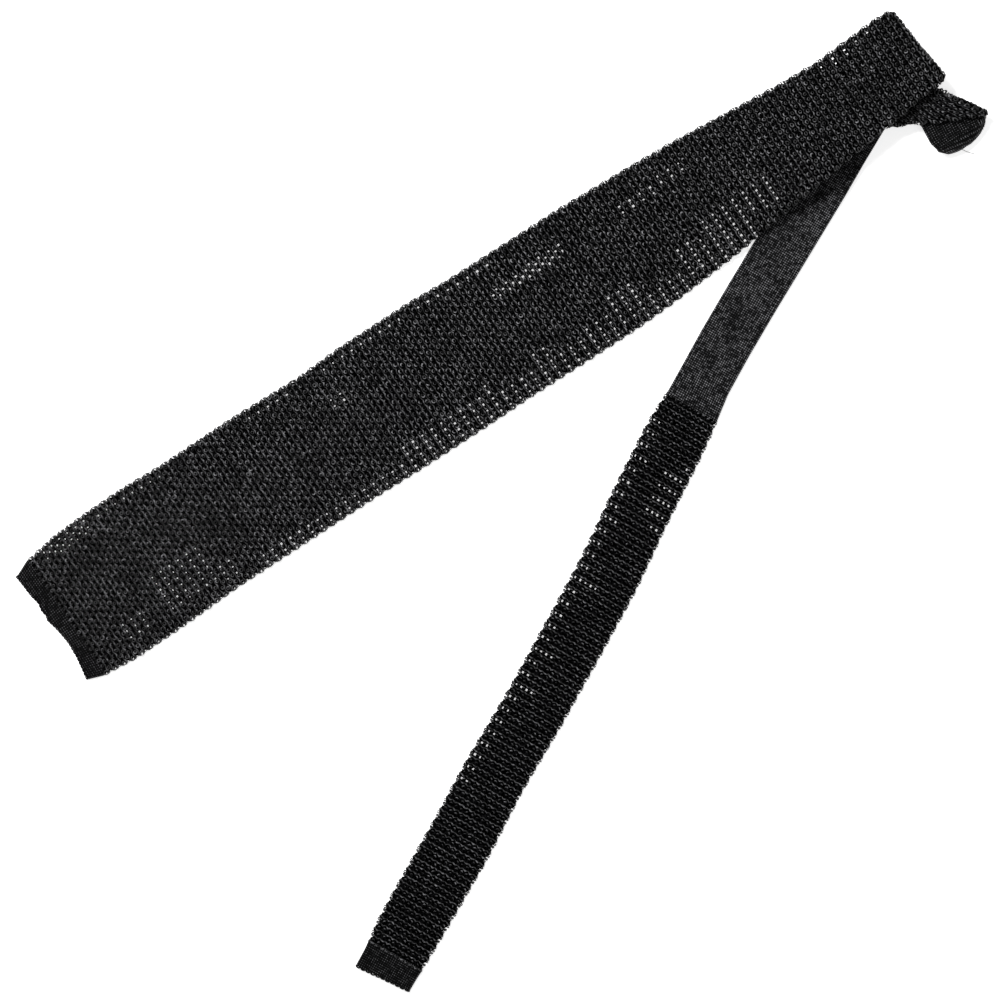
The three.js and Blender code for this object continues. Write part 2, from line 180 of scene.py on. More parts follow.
# Places where both faces' holes line up, so that the table shows through: along the tie, and across it
# from the blade's straight middle line or the tail's own. every is 2 where only every second course is open.
OpenRow = namedtuple("OpenRow", "start end low high every")
BLADE_OPENINGS = (
    OpenRow(0.016, 0.046, 0.030, 0.038, 1),
    OpenRow(0.028, 0.046, -0.029, -0.016, 2),
    OpenRow(0.052, 0.092, 0.033, 0.039, 2),
    OpenRow(0.054, 0.074, -0.029, -0.006, 2),
    OpenRow(0.074, 0.086, -0.030, -0.004, 2),
    OpenRow(0.086, 0.100, -0.031, -0.022, 2),
    OpenRow(0.108, 0.200, -0.036, -0.0285, 2),
    OpenRow(0.140, 0.170, 0.0315, 0.037, 2),
    OpenRow(0.185, 0.197, 0.010, 0.019, 2),
    OpenRow(0.188, 0.242, 0.0315, 0.037, 2),
    OpenRow(0.200, 0.228, -0.038, -0.0215, 2),
    OpenRow(0.228, 0.262, -0.038, -0.0215, 2),
    OpenRow(0.245, 0.310, 0.030, 0.0345, 2),
    OpenRow(0.262, 0.284, -0.038, -0.026, 2),
    OpenRow(0.284, 0.298, -0.038, -0.019, 2),
    OpenRow(0.284, 0.330, 0.0125, 0.0185, 1),
    OpenRow(0.298, 0.330, -0.038, -0.0265, 2),
    OpenRow(0.330, 0.350, -0.038, -0.018, 2),
    OpenRow(0.350, 0.376, -0.039, -0.028, 2),
    OpenRow(0.362, 0.406, 0.0125, 0.0195, 2),
    OpenRow(0.376, 0.395, -0.036, -0.018, 2),
    OpenRow(0.395, 0.421, -0.036, -0.011, 2),
    OpenRow(0.421, 0.440, -0.026, -0.010, 2),
    OpenRow(0.490, 0.527, 0.0155, 0.0215, 2),
)
TAIL_OPENINGS = (
    OpenRow(0.214, 0.234, 0.0095, 0.0160, 2),
    OpenRow(0.227, 0.234, -0.0165, -0.0120, 2),
    OpenRow(0.238, 0.262, -0.0155, -0.0035, 2),
    OpenRow(0.238, 0.246, 0.0080, 0.0160, 2),
    OpenRow(0.246, 0.433, 0.0112, 0.0160, 2),
    OpenRow(0.262, 0.269, -0.0155, -0.0095, 2),
    OpenRow(0.269, 0.355, -0.0165, -0.0130, 2),
    OpenRow(0.275, 0.283, 0.0075, 0.0115, 2),
    OpenRow(0.308, 0.315, 0.0015, 0.0115, 2),
    OpenRow(0.351, 0.358, 0.0050, 0.0115, 2),
    OpenRow(0.369, 0.381, 0.0030, 0.0115, 2),
    OpenRow(0.404, 0.411, 0.0095, 0.0115, 2),
)

# The loose end of thread that sticks out from under the lobe
LOOSE_THREAD = (
    (0.2370, 0.1852, 0.0040),
    (0.2400, 0.1829, 0.0026),
    (0.2434, 0.1817, 0.0009),
    (0.2468, 0.1814, 0.0003),
)
LOOSE_THREAD_RADIUS = 0.00013

# How far the end of the blade is drawn in from a straight edge: across is from 1 at its left corner to
# -1 at its right one.
TipRow = namedtuple("TipRow", "across inset")
TIP_ROWS = (
    TipRow(-1.0, 0.0),
    TipRow(-0.76, 0.0013),
    TipRow(-0.58, 0.0022),
    TipRow(-0.34, 0.0026),
    TipRow(-0.08, 0.0016),
    TipRow(0.14, 0.0),
    TipRow(0.2, 0.0009),
    TipRow(0.32, 0.0002),
    TipRow(0.42, 0.0011),
    TipRow(0.64, 0.0),
    TipRow(1.0, -0.0008),
)
EDGE_PHASE = 0.25  # stitches from the middle of an edge to its first knob, so that every course has one
KNOB_YARN_SHARE = 0.62  # thickness of a knob's yarn, as a share of the knob's radius
KNOB_STRETCH = 1.1  # how much taller a knob's yarn is than it is wide
EDGE_LIFT = 0.0003  # how far the knit stands out at the tie's two edges
EDGE_SWELL = 0.0008  # how much further it stands out there at every second course
EDGE_FLATTEN = 0.8  # how much flatter its stitches are there
EDGE_REACH = 0.7  # distance from an edge over which these three fade, in stitches
EDGE_TO_HOLE = 0.6  # least distance from an edge to a hole, in stitches
CREST = 0.00114  # how far above the middle of the wall the yarn stands where its painted highlight is brightest; lower yarn gets painted shade
WAVE_DIP = 0.00026  # how far the wavy yarns rise and dip between the knobs
WAVE_STEPS = 4  # straight lengths in one stitch of a wavy yarn
WAVE_JITTER = 0.00013  # unevenness of the wavy yarns
HOLE_GROWTH = (0.6, 1.15)  # least and greatest size of a hole, as a share of its full size
WEB_DEPTH = -0.0003  # where the backs of the stitches lie, from the middle of the wall
WEB_THICKNESS = 0.0003
DARKEST_WEB = 0.005  # colour of the web, painted dark as the shade deep in the knit, between its strands and on them, as a share of the dyed silk's
LIGHTEST_WEB = 0.3
LOBE_AND_HEM_LIGHT_SHARE = 0.7  # how much of the neck band's painted light the lobe and the hems keep: painted shade where the lobe slopes away, and a darker hem
CLOSE_COURSE = 0.00118  # height of a course of the close knit
SEAM_OVERLAP = 0.0012  # how far the close knit reaches into the openwork
TAIL_END_SLANT = 0.077  # how much further the tail's end reaches, for each metre across
NECK_STEP = 0.0018  # length of one row of the neck band's mesh
HEM_STEP = 0.001  # length of one row of a hem's mesh
LOOP_WIDTH = 0.58  # half width of a cast-off loop, as a share of the distance between two of them
LOOP_LEAN = 24  # how far a cast-off loop leans over, in degrees
SHORTEST_SHEET = 0.01  # length given for a shorter stretch of cloth, whose own area is given with it


class TieSizes(bpy.types.PropertyGroup):
    """Real sizes of the tie"""

    blade_length: bpy.props.FloatProperty(
        name="Blade length", description="From the front hem to the first fold", default=0.543,
        unit="LENGTH",
    )
    blade_width: bpy.props.FloatProperty(
        name="Blade width", description="Width of the blade at its widest", default=0.077, unit="LENGTH"
    )
    neck_length: bpy.props.FloatProperty(
        name="Neck length", description="Close-knit band after the last fold", default=0.2036, unit="LENGTH"
    )
    neck_width: bpy.props.FloatProperty(
        name="Neck width", description="Width of the close-knit band", default=0.0283, unit="LENGTH"
    )
    tail_length: bpy.props.FloatProperty(
        name="Tail length", description="Openwork stretch of the tail", default=0.3245, unit="LENGTH"
    )
    tail_width: bpy.props.FloatProperty(
        name="Tail width", description="Width of the tail", default=0.034, unit="LENGTH"
    )
    front_hem: bpy.props.FloatProperty(
        name="Front hem", description="Depth of the blade's close-knit hem", default=0.0085, unit="LENGTH"
    )
    tail_hem: bpy.props.FloatProperty(
        name="Tail hem", description="Depth of the tail's close-knit hem", default=0.013, unit="LENGTH"
    )
    open_wall: bpy.props.FloatProperty(
        name="Openwork wall", description="Thickness of one face of the openwork", default=0.0012,
        unit="LENGTH",
    )
    close_wall: bpy.props.FloatProperty(
        name="Close-knit wall", description="Thickness of one face of the close knit", default=0.0009,
        unit="LENGTH",
    )
    tube_gap: bpy.props.FloatProperty(
        name="Air inside", description="Air between the two faces of the tie", default=0.0004, unit="LENGTH"
    )
    layer_gap: bpy.props.FloatProperty(
        name="Air between layers", description="Air between two layers of the stack", default=0.0005,
        unit="LENGTH",
    )
    seam_gap: bpy.props.FloatProperty(
        name="Seam gap", description="Gap between two stretches of knit", default=0.00036, unit="LENGTH"
    )


class YarnSettings(bpy.types.PropertyGroup):
    """The yarn, its stitches and its colours"""

    wave_yarn: bpy.props.FloatProperty(
        name="Course yarn", description="Thickness of the wavy yarn of a course", default=0.00098,
        unit="LENGTH",
    )
    wave_height: bpy.props.FloatProperty(
        name="Wave height", description="How far a course's yarn waves to either side", default=0.0003,
        unit="LENGTH",
    )
    yarn_colour: bpy.props.FloatVectorProperty(
        name="Yarn", description="Dyed silk", subtype="COLOR", size=4, default=(0.014, 0.014, 0.0155, 1.0)
    )
    # Bright colour painted on random stitches as glints: painted highlight
    glint_colour: bpy.props.FloatVectorProperty(
        name="Painted highlight", description="Silk under a painted glint", subtype="COLOR", size=4,
        default=(0.30, 0.30, 0.315, 1.0),
    )
    # Near-black colour painted on low yarn as the shade deep in the knit
    painted_shade_colour: bpy.props.FloatVectorProperty(
        name="Yarn in painted shade", description="Silk darkened as painted shade deep in the knit", subtype="COLOR", size=4,
        default=(0.0004, 0.0004, 0.0005, 1.0),
    )


class StageSettings(bpy.types.PropertyGroup):
    """The table, the light and the camera"""

    view_width: bpy.props.FloatProperty(
        name="View width", description="Width of table that the picture takes in", default=0.52,
        unit="LENGTH",
    )
    camera_height: bpy.props.FloatProperty(
        name="Camera height", description="Height of the camera above the table", default=5.0, unit="LENGTH"
    )
    table_colour: bpy.props.FloatVectorProperty(
        name="Table", description="Pale table top", subtype="COLOR", size=4, default=(0.86, 0.86, 0.86, 1.0)
    )


Stretch = namedtuple("Stretch", "at start heading length side")
Fold = namedtuple("Fold", "at span radius point line out before after lean_before lean_after rise")


def towards(heading):
    """Unit vector of a heading, seen from above"""
    angle = math.radians(heading)
    return np.array((math.cos(angle), math.sin(angle)))


def fold_line(before, after, heading):
    """Heading of the fold between two headings, taken so that it points to the left of travel"""
    line = (before + after) / 2
    return line if math.sin(math.radians(line - heading)) > 0 else line + 180


def ease(share):
    """0 to 1 with a gentle start and end"""
    share = np.clip(share, 0, 1)
    return share * share * (3 - 2 * share)


def columns(rows):
    """A table's columns as arrays"""
    return [np.array(column, float) for column in zip(*rows)]


class TiePath:
    """Where each point of the flat tie lies once the tie is folded and laid on the table"""

    def __init__(self, size):
        self.size = size
        self.open_half = size.open_wall + size.tube_gap / 2
        self.close_half = size.close_wall + size.tube_gap / 2
        thick, thin, gap = 2 * self.open_half, 2 * self.close_half, size.layer_gap
        back = self.close_half
        neck = back + thin + gap
        lobe = neck + thin + gap
        strip = lobe + self.close_half + self.open_half + gap
        under = strip + thick + gap
        self.levels = [under + thick + gap, under, strip, lobe, back, neck]
        self.shift = np.zeros(2)
        self.lay_stretches()
        self.lay_blade_heights()
        self.lay_edges()
        self.shift = self.offset_to_model()

    def strip_fan(self, across):
        """How much further the openwork runs along the edge that ends in the strip's tip"""
        return STRIP_FAN * np.clip(-across / STRIP_WIDTH * 2, 0, 1) ** 1.5

    def painted_light_on_neck(self, along):
        """Share of the painted light on the stitches: less in the lobe, which slopes away from the light, as
        painted shade
        """
        return LOBE_AND_HEM_LIGHT_SHARE + (1 - LOBE_AND_HEM_LIGHT_SHARE) * ease((along - self.folds[3].at) / self.folds[3].span)

    def lay_stretches(self):
        """Stretches and folds from the front hem to the tail's end"""
        size = self.size
        bulge = (self.levels[0] - self.levels[1]) / 2 + self.open_half
        headings = [BLADE_HEADING, UNDER_HEADING, STRIP_HEADING, LOBE_HEADING, BACK_HEADING, NECK_HEADING]
        last = size.neck_length + size.tail_length + size.tail_hem + 2 * size.seam_gap
        lengths = [size.blade_length - bulge, UNDER_LENGTH, STRIP_LENGTH, LOBE_LENGTH, BACK_LENGTH, last]
        self.stretches = [Stretch(0.0, np.zeros(2), headings[0], lengths[0], 1)]
        self.folds = []
        for index in range(1, len(headings)):
            before = self.stretches[-1]
            point = before.start + towards(before.heading) * before.length
            arriving = BLADE_END_HEADING if index == 1 else before.heading
            line = fold_line(arriving, headings[index], before.heading)
            along = towards(line)
            out = np.array((along[1], -along[0]))
            out *= np.sign(out @ towards(before.heading))
            radius = abs(self.levels[index] - self.levels[index - 1]) / 2
            lean = self.lean(before.heading, before.side, along)
            after_lean = self.lean(headings[index], -before.side, along)
            span = math.pi * radius * abs(math.sin(math.radians(line - before.heading)))
            at = before.at + before.length
            rise = np.sign(self.levels[index] - self.levels[index - 1])
            after = Stretch(at + span, point, headings[index], lengths[index], -before.side)
            fold = Fold(at, span, radius, point, along, out, before, after, lean, after_lean, rise)
            self.folds.append(fold)
            self.stretches.append(after)
        self.end = self.stretches[-1].at + last

    @staticmethod
    def lean(heading, side, line):
        """Distance along a heading to a fold's line, for each metre across"""
        across = towards(heading + 90) * side
        return (towards(heading) @ line) / (across @ line)

    def lay_blade_heights(self):
        """Distances from the first fold over which the blade sinks to the neck band and to the table"""
        blade_width = self.size.blade_width
        first, second, last = self.folds[0].point, self.folds[1].point, self.folds[4].point
        backwards = towards(BLADE_HEADING + 180)
        bulge = (self.levels[0] - self.levels[1]) / 2 + self.open_half
        self.stack_reach = (second - first) @ backwards + UNDER_ROWS[-1].left * blade_width / 2 + bulge
        crossing = math.radians(NECK_HEADING - BLADE_HEADING - 180)
        from_fold = last - first
        neck_edge = TAIL_BOW + self.size.neck_width / 2
        right = from_fold @ towards(BLADE_HEADING - 90)
        run = (blade_width / 2 - right + neck_edge * math.cos(crossing)) / math.sin(crossing)
        self.neck_reach = from_fold @ backwards + run * math.cos(crossing) + neck_edge * math.sin(crossing)
        self.over_neck = 2 * self.close_half + self.size.layer_gap + self.open_half

    def lay_edges(self):
        """Edges along the whole tie: ahead is the blade's left edge and behind its right one"""
        size = self.size
        blade, under, strip, lobe, back, neck = self.stretches
        tables = [[]]
        for row in BLADE_ROWS:
            half = row.wide * size.blade_width / 2
            tables[0].append((blade.at + row.at * blade.length, half, half + BLADE_SAG))
        folded = (
            (under, UNDER_ROWS, BLADE_ROWS[-1].wide * size.blade_width),
            (strip, STRIP_ROWS, STRIP_WIDTH),
            (lobe, LOBE_ROWS, LOBE_WIDTH),
            (back, BACK_ROWS, LOBE_WIDTH),
        )
        for stretch, table, width in folded:
            tables.append([])
            for row in table:
                sides = (row.left, row.right) if stretch.side > 0 else (row.right, row.left)
                tables[-1].append((stretch.at + row.at * stretch.length, sides[0] * width, sides[1] * width))
        self.neck_at = neck.at
        self.tail_at = neck.at + size.neck_length + size.seam_gap
        self.tail_hem_at = self.tail_at + size.tail_length + size.seam_gap
        ends = ((self.neck_at, size.neck_length, NECK_ROWS, size.neck_width),
                (self.tail_at, size.tail_length, TAIL_ROWS, size.tail_width),
                (self.tail_hem_at, size.tail_hem, TAIL_HEM_ROWS, size.tail_width))
        bows = [(self.neck_at, 0.0)]
        tables.append([])
        for at, length, table, width in ends:
            for row in table:
                half = row.wide * width / 2
                tables[-1].append((at + row.at * length, half, half))
                if row.at > 0:
                    bows.append((at + row.at * length, -row.bow * TAIL_BOW))
        self.ahead_edge = self.whole_edge(tables, 1)
        self.behind_edge = self.whole_edge(tables, -1)
        self.neck_bow = columns(bows)
        blade_bows = [(blade.at + row.at * blade.length, row.bow * BLADE_BOW) for row in BLADE_ROWS]
        blade_bows[-1] = (blade_bows[-1][0], 0.0)
        self.blade_bow = columns(blade_bows)

    def whole_edge(self, tables, side):
        """One edge of the whole tie. A slanting fold meets each edge at its own distance along the tie."""
        whole = []
        for index, table in enumerate(tables):
            along, ahead, behind = columns(table)
            reach = ahead if side > 0 else behind
            first, last = along[0], along[-1]
            for _ in range(5):
                if index > 0:
                    fold = self.folds[index - 1]
                    first = fold.at + fold.span + side * np.interp(first, along, reach) * fold.lean_after
                if index < len(self.folds):
                    fold = self.folds[index]
                    last = fold.at + side * np.interp(last, along, reach) * fold.lean_before
            inner = [(at, half) for at, half in zip(along, reach) if first < at < last]
            whole += [(first, np.interp(first, along, reach)), *inner, (last, np.interp(last, along, reach))]
        return columns(sorted(whole))

    def offset_to_model(self):
        """From this path's own origin to the model's, from the blade's first corner"""
        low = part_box("front_blade")[0]
        along = self.size.front_hem + self.size.seam_gap
        around = np.linspace(0, 1, 64, endpoint=False)
        ring = self.lay(np.full(64, along), around, np.full(64, self.size.open_wall / 2), self.size.open_wall)
        return np.array((low.x, low.y)) - ring[:, :2].min(0)

    def width(self, along):
        """Width of the flat tie"""
        return np.interp(along, *self.ahead_edge) + np.interp(along, *self.behind_edge)

    def girth(self, along, wall):
        """Length once round the middle of the wall"""
        half = wall + self.size.tube_gap / 2
        return 2 * (self.width(along) - 2 * half) + 2 * math.pi * (half - wall / 2)

    def on_stretch(self, stretch, along, across, half):
        """Place of points at a distance along and across a flat stretch, as if no fold were near"""
        index = self.stretches.index(stretch) if stretch in self.stretches else 0
        out = along - stretch.at
        level = np.full(len(along), self.levels[index])
        bow = np.zeros(len(along))
        if index == 0:
            bow = np.interp(along, *self.blade_bow)
            from_fold = stretch.length - out
            near = ease((from_fold - self.stack_reach) / (self.neck_reach - self.stack_reach))
            far = ease((from_fold - self.neck_reach) / BLADE_LANDING)
            raised = self.levels[0] + (self.over_neck - self.levels[0]) * near
            sunk = self.over_neck + (self.open_half - self.over_neck) * far
            level = np.where(from_fold <= self.neck_reach, raised, sunk) - self.open_half + half
        if index == len(self.stretches) - 1:
            bow = np.interp(along, *self.neck_bow)
            sunk = ease((out - NECK_LIFT) / NECK_LANDING)
            raised = self.levels[index]
            level = raised + (self.close_half - raised) * sunk - self.close_half + half
        plan = stretch.start + self.shift + np.outer(out, towards(stretch.heading))
        plan += np.outer(across, towards(stretch.heading + 90) * stretch.side)
        plan += np.outer(bow, towards(stretch.heading + 90))
        return np.column_stack((plan, level))

    def section(self, along, around, off, wall, edge_share):
        """Place across the tie and height above its middle, for a share of the way round the tube"""
        half = wall + self.size.tube_gap / 2
        middle = half - wall / 2
        ahead = np.interp(along, *self.ahead_edge) - half
        behind = half - np.interp(along, *self.behind_edge)
        flat = ahead - behind
        quarter = np.full(len(along), math.pi * middle / 2)
        stops = np.column_stack((quarter * 0, quarter, quarter + flat, 3 * quarter + flat,
                                 3 * quarter + 2 * flat, 4 * quarter + 2 * flat))
        around = around % 1.0
        run = around * stops[:, 5]
        if edge_share:
            knots = (0, edge_share, 0.5 - edge_share, 0.5 + edge_share, 1 - edge_share, 1)
            part = np.clip(np.searchsorted(knots, around, side="right") - 1, 0, 4)
            low, high = np.take(knots, part), np.take(knots, part + 1)
            rows = np.arange(len(along))
            first, last = stops[rows, part], stops[rows, part + 1]
            run = first + (last - first) * (around - low) / (high - low)
        out = middle + off
        angle = np.clip(run, stops[:, 0], stops[:, 1]) / middle
        across = behind - out * np.cos(angle)
        rise = out * np.sin(angle)
        over = run > stops[:, 1]
        across = np.where(over, behind + np.clip(run - stops[:, 1], 0, flat), across)
        turned = run > stops[:, 2]
        angle = np.clip(run - stops[:, 2], 0, math.pi * middle) / middle
        across = np.where(turned, ahead + out * np.sin(angle), across)
        rise = np.where(turned, out * np.cos(angle), rise)
        under = run > stops[:, 3]
        across = np.where(under, ahead - np.clip(run - stops[:, 3], 0, flat), across)
        closing = run > stops[:, 4]
        angle = (run - stops[:, 4]) / middle
        across = np.where(closing, behind - out * np.sin(angle), across)
        rise = np.where(closing, -out * np.cos(angle), rise)
        return across, rise, run / stops[:, 5]

    def lay(self, along, around, off, wall, edge_share=0.0):
        """Place of points on the folded tie: along it, around its tube and off its wall's middle"""
        half = wall + self.size.tube_gap / 2
        across, rise, _ = self.section(along, around, off, wall, edge_share)
        place = self.on_stretch(self.stretches[0], along, across, half)
        up = np.zeros_like(place)
        up[:, 2] = 1
        reach = np.where(across > 0, np.interp(along, *self.ahead_edge), np.interp(along, *self.behind_edge))
        for fold in self.folds:
            start = fold.at + across * fold.lean_before
            end = fold.at + fold.span + across * fold.lean_after
            share = np.clip((along - start) / (end - start), 0, 1)
            angle = math.pi * share
            pulled = across * (1 - CORNER_ROUND * fold.radius * np.sin(angle) / reach)
            first = self.on_stretch(fold.before, start, pulled, half)
            last = self.on_stretch(fold.after, end, pulled, half)
            turning = first + (last - first) * share[:, None]
            swell = LOBE_SWELL * (1 - (across / reach) ** 2) if fold is self.folds[3] else 0
            turning[:, :2] += np.outer((fold.radius + swell) * np.sin(angle), fold.out)
            turning[:, 2] = first[:, 2] + (last[:, 2] - first[:, 2]) * (1 - np.cos(angle)) / 2
            turned_up = np.column_stack((np.outer(-fold.rise * fold.before.side * np.sin(angle), fold.out),
                                         fold.before.side * np.cos(angle)))
            beyond = self.on_stretch(fold.after, along, across, half)
            past = along >= end
            within = (along > start) & ~past
            place[past] = beyond[past]
            place[within] = turning[within]
            up[within] = turned_up[within]
            up[past] = (0, 0, fold.after.side)
        return place + up * rise[:, None]


# How many courses of openwork there are up to a distance along the tie
COURSE_ALONG = np.linspace(0, 1.4, 1401)
COURSE_COUNT = np.concatenate(([0], np.cumsum(
    np.diff(COURSE_ALONG) / np.interp(COURSE_ALONG[1:], *columns(COURSE_PITCHES)))))


def courses_at(along):
    """Number of courses from the front hem to a distance along the tie"""
    return np.interp(along, COURSE_ALONG, COURSE_COUNT)


def knit_rows(path):
    """The lengths of openwork, each small enough to be one mesh"""
    size = path.size
    first = size.front_hem + size.seam_gap
    fold = path.folds[0].at
    tail_end = path.tail_hem_at - size.seam_gap
    back = path.stretches[2].at + STRIP_END
    return (
        KnitRow("blade_openwork_1", first, 0.105, 20, 1, 0.00118, 0.0, 14, 0.0008, 1, "front_blade"),
        KnitRow("blade_openwork_2", 0.105, 0.202, 20, 1, 0.00123, 0.00002, 26, 0.001, 1, "front_blade"),
        KnitRow("blade_openwork_3", 0.202, 0.297, 20, 1, 0.00128, 0.0, 36, 0.0011, 1, "front_blade"),
        KnitRow("blade_openwork_4", 0.297, 0.390, 20, 1, 0.00128, 0.0, 40, 0.0011, 1, "front_blade"),
        KnitRow("blade_openwork_5", 0.390, 0.455, 19, 1, 0.00126, 0.0, 34, 0.0011, 1, "front_blade"),
        KnitRow("blade_openwork_6", 0.455, fold - 0.004, 17, 1, 0.00124, 0.0, 26, 0.001, 1, "front_blade"),
        KnitRow("folded_openwork", fold - 0.004, back, 15, 1, 0.00124, 0.0, 26, 0.001, 2, "front_blade"),
        KnitRow("tail_openwork", path.tail_at, tail_end, 11, -1, 0.00108, -0.0004, 50, 0.0011, 1,
                "tail_blade"),
    )


def vertices_of(piece):
    """A mesh's vertices as an array"""
    points = np.empty(len(piece.data.vertices) * 3, np.float32)
    piece.data.vertices.foreach_get("co", points)
    return points.reshape(-1, 3).astype(float)


def put_vertices(piece, points):
    """Writes an array back to a mesh's vertices"""
    piece.data.vertices.foreach_set("co", np.ascontiguousarray(points, np.float32).ravel())
    piece.data.update()


def deselect_all():
    if bpy.context.object and bpy.context.object.mode != "OBJECT":
        bpy.ops.object.mode_set(mode="OBJECT")
    bpy.ops.object.select_all(action="DESELECT")


def select_only(piece):
    deselect_all()
    piece.select_set(True)
    bpy.context.view_layer.objects.active = piece


def join(name, pieces):
    """Joins meshes into one object"""
    select_only(pieces[0])
    for piece in pieces[1:]:
        piece.select_set(True)
    bpy.ops.object.join()
    joined = bpy.context.object
    joined.name = name
    joined.data.name = name
    return joined


def repeat(piece, count, step, merge=False):
    """Repeats a mesh in a row with an array modifier, and applies it"""
    select_only(piece)
    array = piece.modifiers.new("Row", "ARRAY")
    array.count = count
    array.use_relative_offset = False
    array.use_constant_offset = True
    array.constant_offset_displace = step
    array.use_merge_vertices = merge
    array.merge_threshold = 0.00001
    bpy.ops.object.modifier_apply(modifier=array.name)


def knob_cell(row, rounds, sides, across, along):
    """Two knobs of yarn, one for each of two courses that lie half a stitch apart"""
    deselect_all()
    yarn = row.knob * KNOB_YARN_SHARE
    bpy.ops.mesh.primitive_torus_add(
        major_segments=rounds, minor_segments=sides, major_radius=row.knob - yarn / 2, minor_radius=yarn / 2
    )
    first = bpy.context.object
    bpy.ops.object.mode_set(mode="EDIT")
    bpy.ops.mesh.select_all(action="SELECT")
    bpy.ops.transform.resize(value=(1.0, 1.0, KNOB_STRETCH), center_override=(0, 0, 0))
    bpy.ops.transform.rotate(value=math.radians(row.lean), orient_axis="X", center_override=(0, 0, 0))
    bpy.ops.transform.translate(value=(0, 0, row.lift))
    bpy.ops.object.mode_set(mode="OBJECT")
    bpy.ops.object.duplicate()
    second = bpy.context.object
    second.location = (across / 2, along, 0)
    bpy.ops.object.transform_apply(location=True, rotation=False, scale=False)
    return join("Knobs", [first, second])


def wave_cell(yarn, height, steps, sides, across, along):
    """One stitch's length of the wavy yarn of two courses"""
    waves = []
    for course, crest in ((0, 1), (1, -1)):
        deselect_all()
        shape = [crest * height * math.cos(2 * math.pi * step / steps) for step in range(steps + 1)]
        bpy.ops.mesh.primitive_circle_add(
            vertices=sides, radius=yarn / 2, fill_type="NOTHING", rotation=(0, math.pi / 2, 0),
            location=(0, (course + 0.5) * along + shape[0], 0),
        )
        wave = bpy.context.object
        bpy.ops.object.transform_apply(location=True, rotation=True, scale=True)
        bpy.ops.object.mode_set(mode="EDIT")
        bpy.ops.mesh.select_all(action="SELECT")
        for step in range(steps):
            move = (across / steps, shape[step + 1] - shape[step], 0)
            bpy.ops.mesh.extrude_region_move(TRANSFORM_OT_translate={"value": move})
        bpy.ops.mesh.select_all(action="SELECT")
        bpy.ops.mesh.normals_make_consistent(inside=False)
        bpy.ops.object.mode_set(mode="OBJECT")
        waves.append(wave)
    return join("Waves", waves)


def vary_knobs(piece, moved, draw):
    """Gives each knob of an array its own small turn, size and place"""
    count = len(moved)
    points = vertices_of(piece).reshape(count, -1, 3)
    middle = points.mean(1, keepdims=True)
    local = points - middle
    turn = draw.uniform(-0.75, 0.75, count)[:, None]
    cos, sin = np.cos(turn), np.sin(turn)
    x = local[:, :, 0] * cos - local[:, :, 1] * sin
    y = local[:, :, 0] * sin + local[:, :, 1] * cos
    scale = draw.uniform(0.84, 1.1, count)[:, None]
    tilt = np.clip(draw.normal(0, 0.24, (2, count, 1)), -0.45, 0.45)
    z = local[:, :, 2] + tilt[0] * x + tilt[1] * y
    shift = np.clip(draw.normal(0, 0.00016, (count, 1, 3)), -0.0003, 0.0003)
    shift[:, :, 2] *= 0.6
    shift[:, 0, 0] += moved
    points = np.stack((x * scale, y * scale, z * scale), axis=2) + middle + shift
    put_vertices(piece, points.reshape(-1, 3))


def knob_places(row, courses, first):
    """Course of each knob and its place across, in stitches, in the order in which the arrays make them"""
    course = 2 * np.repeat(np.arange(courses // 2), 2 * row.wales)
    course += np.tile((0, 1), row.wales * courses // 2)
    place = np.tile(np.repeat(np.arange(row.wales), 2), courses // 2) + 0.5 * (course % 2) + first
    return course, place


def cell_to_tie(place, course, row, courses, path):
    """Distance along the tie and share of the way round it, for places in stitches and courses"""
    first, last = courses_at(row.start), courses_at(row.end)
    share = (course + 0.5) / courses
    along = np.interp(first + share * (last - first), COURSE_COUNT, COURSE_ALONG)
    around = (place + EDGE_PHASE) / (2 * row.wales)
    if row.name == "folded_openwork":
        across, _, _ = path.section(along, around, np.zeros(len(along)), path.size.open_wall, 0.0)
        along = along + share ** 2 * path.strip_fan(across)
    return along, around


def light_holes(row, path, courses, openings):
    """Course and place of each hole that goes through both faces"""
    course = np.repeat(np.arange(courses), row.wales)
    place = np.tile(np.arange(row.wales), courses) + 0.5 + 0.5 * (course % 2)
    place += 0 if row.face > 0 else row.wales
    along, around = cell_to_tie(place, course, row, courses, path)
    sideways, _, _ = path.section(along, around, np.zeros(len(along)), path.size.open_wall, 0.0)
    measure = along - path.neck_at
    if row.face > 0:
        sideways += np.interp(along, *path.blade_bow)
        measure = along
    from_edge = np.abs((place + EDGE_PHASE) / row.wales % 1 - 0.5) * -row.wales + row.wales / 2
    seen = np.zeros(len(along), bool)
    for opening in openings:
        inside = (measure > opening.start) & (measure < opening.end)
        inside &= (sideways > opening.low) & (sideways < opening.high)
        seen |= inside & (course % opening.every == 0)
    seen &= from_edge > EDGE_TO_HOLE
    return course[seen], place[seen]


